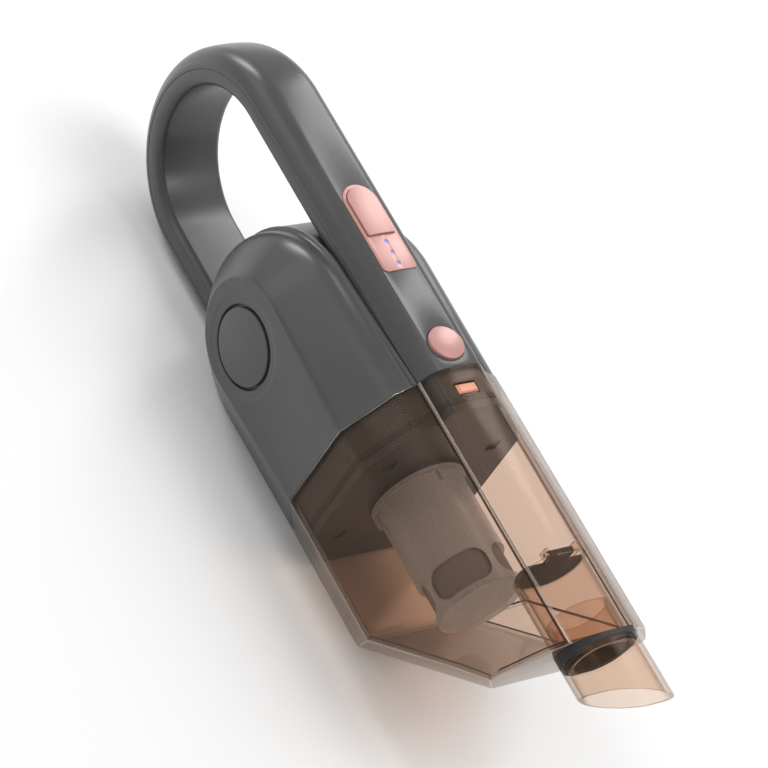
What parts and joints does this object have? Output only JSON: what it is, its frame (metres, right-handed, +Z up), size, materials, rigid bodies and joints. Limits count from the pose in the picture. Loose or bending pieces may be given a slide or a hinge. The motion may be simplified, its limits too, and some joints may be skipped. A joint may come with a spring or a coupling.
{
  "type": "handheld vacuum",
  "caption": "Cordless handheld vacuum: looped handle tube between two side pods, clear dust cup with a snout nozzle, filter inside, raised power key, lights and release button.",
  "frame": {"origin": "on the flat belly, straight below the axis of the two round exhaust caps and midway between them", "axes": "+X points to the nozzle, +Z up to the spine with the keys, Y across the two pods; the right pod is at -Y"},
  "size_m": [0.3617, 0.086, 0.1099],
  "materials": {
    "body_shell": "satin dark grey moulding",
    "handle_shell": "satin to semi-gloss dark grey moulding with a fine metallic fleck",
    "rose_panel": "pale rose metallic lacquer",
    "rose_key": "pale rose metallic lacquer, raised key",
    "dark_frame": "fine-grained dark moulding",
    "black_rubber": "soft black rubber",
    "motor_steel": "drawn steel can",
    "zinc_steel": "zinc-plated steel",
    "cell_sleeve": "heat-shrunk sleeve",
    "nickel_strip": "nickel strip",
    "circuit_board": "solder-masked board",
    "black_parts": "moulded component bodies",
    "blue_lens": "clear blue lens",
    "cap_plastic": "satin dark grey moulding",
    "foam": "open-cell foam",
    "spring_steel": "drawn spring wire",
    "lead_sleeve": "insulated wire",
    "fan_plastic": "pale moulded wheel",
    "orange_plastic": "orange moulding",
    "clear_smoke": "clear smoky brown plastic",
    "clear_frost": "frosted clear plastic",
    "mesh_cloth": "woven dark mesh",
    "filter_cloth": "pleated white filter cloth",
    "clear_brown": "clear brown plastic"
  },
  "bodies": {
    "body": {"right_pod_shell": "body_shell", "left_pod_shell": "body_shell", "handle_outer_shell": "handle_shell", "handle_inner_shell": "handle_shell", "switch_panel": "rose_panel", "neck_frame": "dark_frame", "neck_seal": "black_rubber", "fan_shroud": "dark_frame", "motor_can": "motor_steel", "motor_bulkhead": "dark_frame", "motor_cushion": "black_rubber", "motor_screws": "zinc_steel", "battery_cells": "cell_sleeve", "battery_holder": "dark_frame", "cell_links": "nickel_strip", "control_board": "circuit_board", "board_components": "black_parts", "power_switch": "black_parts", "status_lights": "blue_lens", "charging_socket": "nickel_strip", "right_exhaust_cap": "cap_plastic", "left_exhaust_cap": "cap_plastic", "right_exhaust_foam": "foam", "left_exhaust_foam": "foam", "case_screws": "zinc_steel", "latch_pin": "zinc_steel", "latch_spring": "spring_steel", "power_leads": "lead_sleeve"},
    "fan": {"fan_wheel": "fan_plastic", "motor_shaft": "zinc_steel"},
    "power_key": {"power_key": "rose_key"},
    "release_button": {"release_button": "rose_key"},
    "latch": {"latch_lever": "orange_plastic"},
    "dust_cup": {"cup_shell": "clear_smoke", "flap_pin": "zinc_steel"},
    "flap": {"inlet_flap": "black_rubber"},
    "filter": {"filter_frame": "clear_frost", "filter_mesh": "mesh_cloth", "filter_pleats": "filter_cloth", "filter_seal": "black_rubber"},
    "nozzle": {"nozzle_tube": "clear_brown", "nozzle_collar": "black_rubber"}
  },
  "joints": [
    {"name": "fan_spin", "type": "hinge", "parent": "body", "child": "fan", "pos_m": [0.065, 0, 0.0475], "axis": [1, 0, 0], "continuous": true},
    {"name": "key_press", "type": "slide", "parent": "body", "child": "power_key", "axis": [0, 0, -1], "range_m": [0, 0.001], "stiffness_N_per_m": 800},
    {"name": "release_press", "type": "slide", "parent": "body", "child": "release_button", "axis": [0, 0, -1], "range_m": [0, 0.0015], "stiffness_N_per_m": 800, "deforming": ["latch_spring"]},
    {"name": "latch_turn", "type": "hinge", "parent": "body", "child": "latch", "pos_m": [0.0298, 0, 0.0986], "axis": [0, 1, 0], "range_deg": [0, 4.2]},
    {"name": "cup_slide", "type": "slide", "parent": "body", "child": "dust_cup", "axis": [1, 0, 0], "range_m": [0, 0.12]},
    {"name": "flap_swing", "type": "hinge", "parent": "dust_cup", "child": "flap", "pos_m": [0.1504, 0, 0.1028], "axis": [0, 1, 0], "range_deg": [0, 45]},
    {"name": "filter_twist", "type": "hinge", "parent": "body", "child": "filter", "pos_m": [0.1, 0, 0.0475], "axis": [1, 0, 0], "range_deg": [0, 25]},
    {"name": "nozzle_slide", "type": "slide", "parent": "dust_cup", "child": "nozzle", "axis": [1, 0, 0], "range_m": [0, 0.03]}
  ],
  "couplings": [
    {"joint": "latch_turn", "follows": "release_press", "rad_per_m": 47.6}
  ]
}
